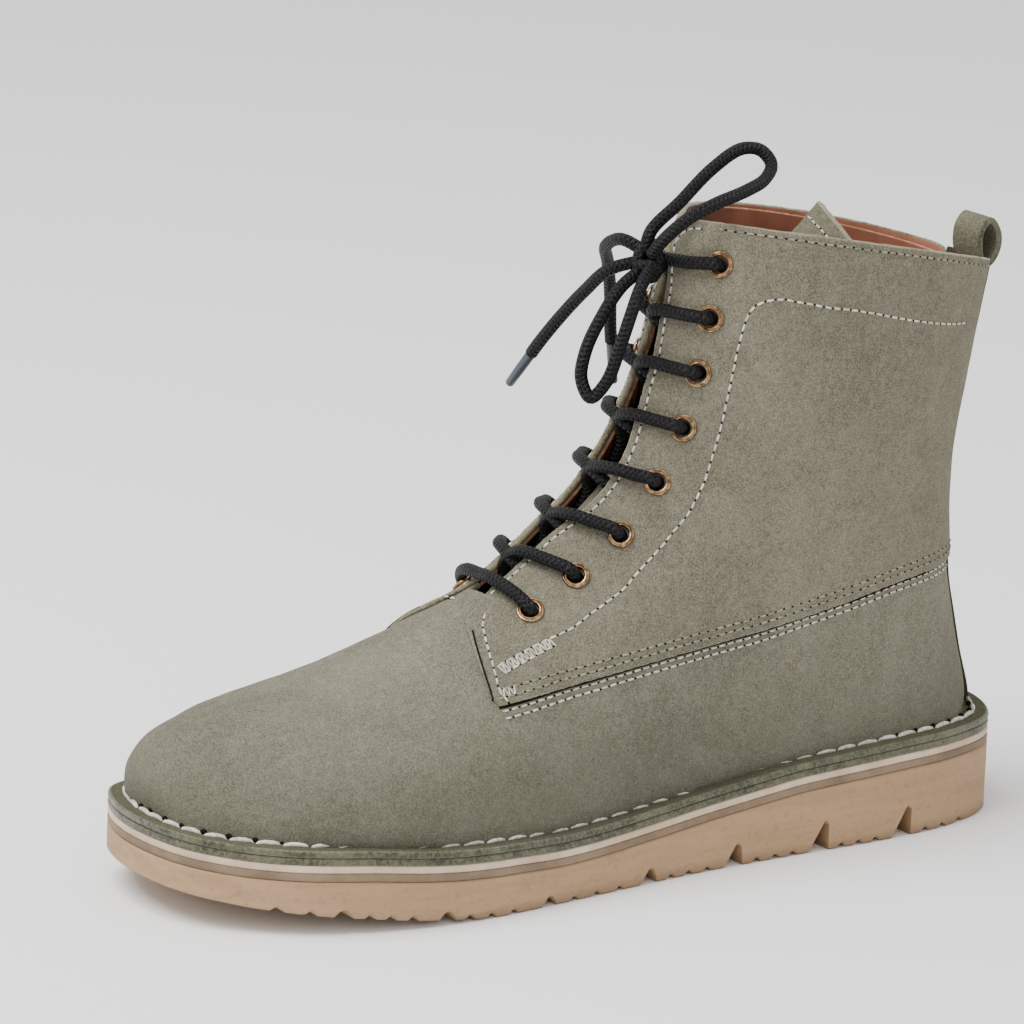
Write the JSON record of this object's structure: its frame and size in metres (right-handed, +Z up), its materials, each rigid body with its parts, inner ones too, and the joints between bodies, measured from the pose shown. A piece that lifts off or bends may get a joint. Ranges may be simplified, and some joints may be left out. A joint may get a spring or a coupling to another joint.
{
  "type": "suede ankle boot",
  "caption": "Hollow lace-up suede ankle boot for the left foot, with eyelets, laces tied in a bow, a tongue, a stitched-down welt and a layered wedge sole.",
  "frame": {"origin": "middle of the sole's outline on the floor plane that the heel and the ball rest on", "axes": "+Z up, toe towards -Y, heel towards +Y, outer (lateral) side of the left boot towards +X"},
  "size_m": [0.1042, 0.3, 0.2161],
  "materials": {
    "suede": "napped suede",
    "lining": "smooth lining leather",
    "cream_rubber": "matte",
    "brown_rubber": "matte",
    "crepe_sole": "matte crepe",
    "brass": "antique",
    "lace": "waxed cord",
    "aglet": "gloss"
  },
  "bodies": {
    "root": {"outsole": "crepe_sole", "midsole": "brown_rubber", "runner": "cream_rubber", "welt": "suede", "upper": "suede", "insole": "lining", "tongue": "suede", "backstay": "suede", "pull_loop": "suede", "eyelet_lateral_1": "brass", "eyelet_lateral_2": "brass", "eyelet_lateral_3": "brass", "eyelet_lateral_4": "brass", "eyelet_lateral_5": "brass", "eyelet_lateral_6": "brass", "eyelet_lateral_7": "brass", "eyelet_lateral_8": "brass", "eyelet_medial_1": "brass", "eyelet_medial_2": "brass", "eyelet_medial_3": "brass", "eyelet_medial_4": "brass", "eyelet_medial_5": "brass", "eyelet_medial_6": "brass", "eyelet_medial_7": "brass", "eyelet_medial_8": "brass", "lace_crossing_1": "lace", "lace_crossing_2": "lace", "lace_crossing_3": "lace", "lace_crossing_4": "lace", "lace_crossing_5": "lace", "lace_crossing_6": "lace", "lace_crossing_7": "lace", "lace_bar": "lace", "lace_knot": "lace", "lace_loop_upper": "lace", "lace_loop_lower": "lace", "lace_end_medial": "lace", "lace_end_hidden": "lace", "aglet_medial": "aglet", "aglet_hidden": "aglet"}
  },
  "joints": []
}
